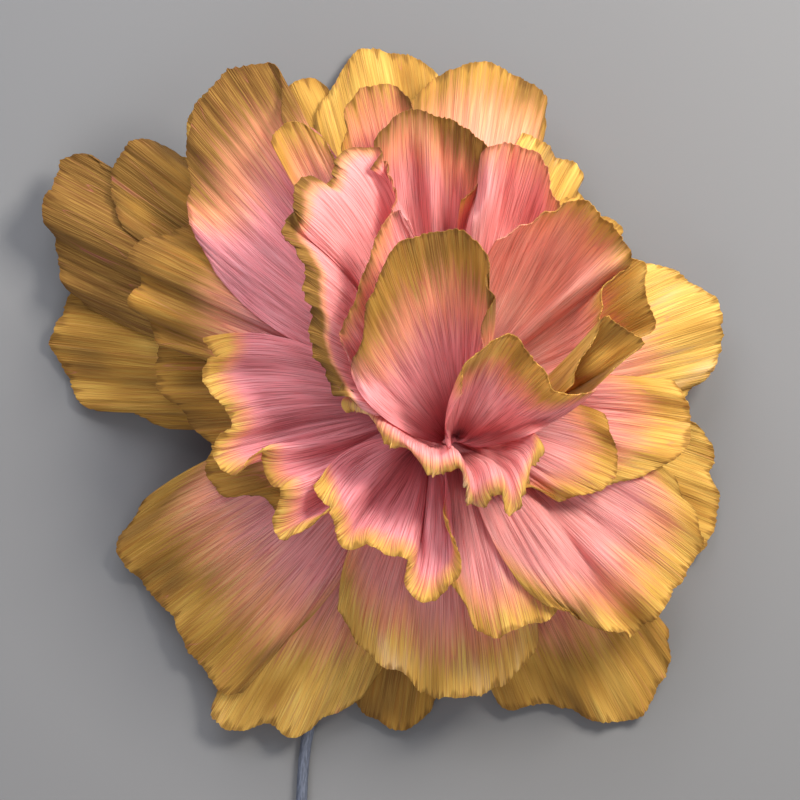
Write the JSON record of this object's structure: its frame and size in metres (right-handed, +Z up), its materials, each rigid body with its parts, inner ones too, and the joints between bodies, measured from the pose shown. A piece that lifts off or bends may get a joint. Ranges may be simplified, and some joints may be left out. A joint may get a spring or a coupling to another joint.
{
  "type": "crepe paper peony",
  "caption": "Large hand-made crepe paper peony with a ruffled pink and gold blossom on a wrapped wire stem, lying face up.",
  "frame": {"origin": "on the table under the middle of the whole flower's box, blossom and stem together", "axes": "+Z up from the table and out of the open blossom, +Y from the stem's cut end towards the blossom, +X to the right when the blossom is seen from above with the stem towards the viewer"},
  "size_m": [0.347, 0.5412, 0.1688],
  "materials": {
    "petal_paper": "finely ribbed matt crepe paper, rose pink at the foot fading to old gold at the rim",
    "block_foam": "paper pulp block, painted rose and hidden by the petals",
    "calyx_paper": "wound green florist crepe, matt",
    "sepal_paper": "green crepe paper, matt",
    "steel_wire": "plain drawn wire, cut square",
    "tape_paper": "slate grey waxed paper tape wound on the wire"
  },
  "bodies": {
    "root": {"petal_outer_top_slip": "petal_paper", "petal_outer_top": "petal_paper", "petal_outer_top_right": "petal_paper", "petal_outer_right_back": "petal_paper", "petal_outer_right_high": "petal_paper", "petal_outer_right": "petal_paper", "petal_outer_right_low": "petal_paper", "petal_outer_bottom_right": "petal_paper", "petal_outer_bottom": "petal_paper", "petal_outer_bottom_left": "petal_paper", "petal_outer_left_low": "petal_paper", "petal_outer_left": "petal_paper", "petal_outer_left_high": "petal_paper", "petal_outer_left_lobe": "petal_paper", "petal_middle_left": "petal_paper", "petal_middle_left_high": "petal_paper", "petal_middle_tall_lobe": "petal_paper", "petal_middle_tall": "petal_paper", "petal_middle_top": "petal_paper", "petal_middle_bottom": "petal_paper", "petal_middle_bottom_right": "petal_paper", "petal_middle_right_low": "petal_paper", "petal_middle_right": "petal_paper", "petal_middle_right_small": "petal_paper", "petal_middle_left_frill": "petal_paper", "petal_middle_front_frill": "petal_paper", "petal_front_lip": "petal_paper", "petal_cup_top_back": "petal_paper", "petal_cup_top": "petal_paper", "petal_cup_right_back": "petal_paper", "petal_cup_right": "petal_paper", "petal_cup_right_flap": "petal_paper", "petal_cup_left": "petal_paper", "petal_cup_front_back_right": "petal_paper", "petal_cup_front_right": "petal_paper", "petal_cup_front_left": "petal_paper", "petal_cup_front": "petal_paper", "petal_block": "block_foam", "calyx": "calyx_paper", "sepal_1": "sepal_paper", "sepal_2": "sepal_paper", "sepal_3": "sepal_paper", "sepal_4": "sepal_paper", "sepal_5": "sepal_paper", "stem_wire": "steel_wire", "stem_tape": "tape_paper"}
  },
  "joints": []
}
